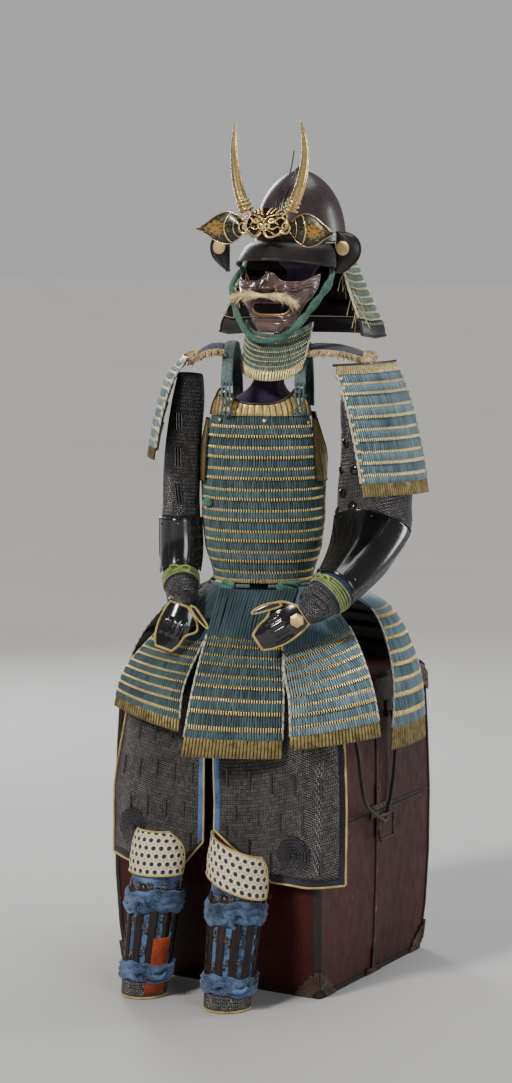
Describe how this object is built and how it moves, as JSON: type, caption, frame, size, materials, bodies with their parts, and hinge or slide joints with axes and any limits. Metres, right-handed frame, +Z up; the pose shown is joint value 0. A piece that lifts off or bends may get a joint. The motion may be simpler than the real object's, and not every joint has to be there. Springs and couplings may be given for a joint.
{
  "type": "samurai armour on its armour box",
  "caption": "Laced armour with horned helmet, face mask, arm, thigh and shin guards, seated on a lacquered storage box over a covered stand.",
  "frame": {"origin": "centre of the storage box's underside, on the floor", "axes": "+Z up; the box front and the lap face -Y; +X is the armour's own left"},
  "size_m": [0.6297, 0.6713, 1.666],
  "materials": {
    "red_lacquer": "worn red-brown lacquer on wood",
    "iron": "dark browned iron",
    "dark_rope": "twisted dark rope",
    "purple_cloth": "plain dark purple cloth",
    "russet_lacquer": "russet-brown lacquered iron, satin",
    "black_lacquer": "glossy black lacquered iron",
    "gilt": "worn gilding over dark ground",
    "old_gilt": "dull old gilding",
    "hair": "cream animal hair",
    "green_lacing": "grey-green silk braid over gilt scale heads",
    "green_cord": "thick green crepe cord",
    "yellow_green_cord": "wound yellow-green cord",
    "pale_blue_lacing": "pale blue silk braid over gilt scale heads",
    "blue_lacing": "teal-blue silk braid over gilt scale heads",
    "blue_cloth": "faded blue hemp cloth",
    "mail_on_indigo": "dark iron mail sewn on indigo cloth",
    "indigo_cloth": "indigo cloth",
    "cream_quilting": "cream quilted cloth with dark blue dots"
  },
  "bodies": {
    "root": {"box_body": "red_lacquer", "box_lid": "red_lacquer", "box_ring_left": "iron", "box_rope_left": "dark_rope", "box_ring_right": "iron", "box_rope_right": "dark_rope", "stand_form": "purple_cloth", "cuirass_front": "blue_lacing", "cuirass_back": "blue_lacing", "chest_plate": "old_gilt", "armpit_plate_left": "old_gilt", "armpit_plate_right": "old_gilt", "shoulder_strap_left": "blue_cloth", "shoulder_strap_right": "blue_cloth", "shoulder_wing_left": "indigo_cloth", "shoulder_wing_right": "indigo_cloth", "waist_cord": "blue_cloth", "tasset_front": "blue_lacing", "tasset_front_left": "blue_lacing", "tasset_front_right": "blue_lacing", "tasset_side_left": "pale_blue_lacing", "tasset_side_right": "pale_blue_lacing", "tasset_back_left": "blue_lacing", "tasset_back_right": "blue_lacing", "helmet_bowl": "russet_lacquer", "helmet_visor": "black_lacquer", "neck_guard_laced": "green_lacing", "neck_guard_hem": "black_lacquer", "turnback_left": "black_lacquer", "turnback_right": "black_lacquer", "crest_mask": "gilt", "crest_horn_left": "gilt", "crest_ear_left": "old_gilt", "crest_horn_right": "gilt", "crest_ear_right": "old_gilt", "face_mask": "russet_lacquer", "moustache": "hair", "throat_guard": "green_lacing", "helmet_cord": "green_cord", "shoulder_guard_left": "pale_blue_lacing", "shoulder_guard_right": "pale_blue_lacing", "sleeve_left": "mail_on_indigo", "forearm_plate_left": "black_lacquer", "wrist_tie_left": "yellow_green_cord", "sleeve_right": "mail_on_indigo", "forearm_plate_right": "black_lacquer", "wrist_tie_right": "yellow_green_cord", "hand_guard_left": "black_lacquer", "hand_guard_right": "black_lacquer", "thigh_guard_left": "mail_on_indigo", "thigh_guard_right": "mail_on_indigo", "shin_guard_left": "blue_cloth", "knee_guard_left": "cream_quilting", "shin_tie_top_left": "blue_cloth", "shin_tie_low_left": "blue_cloth", "shin_guard_right": "blue_cloth", "knee_guard_right": "cream_quilting", "shin_tie_top_right": "blue_cloth", "shin_tie_low_right": "blue_cloth"}
  },
  "joints": []
}
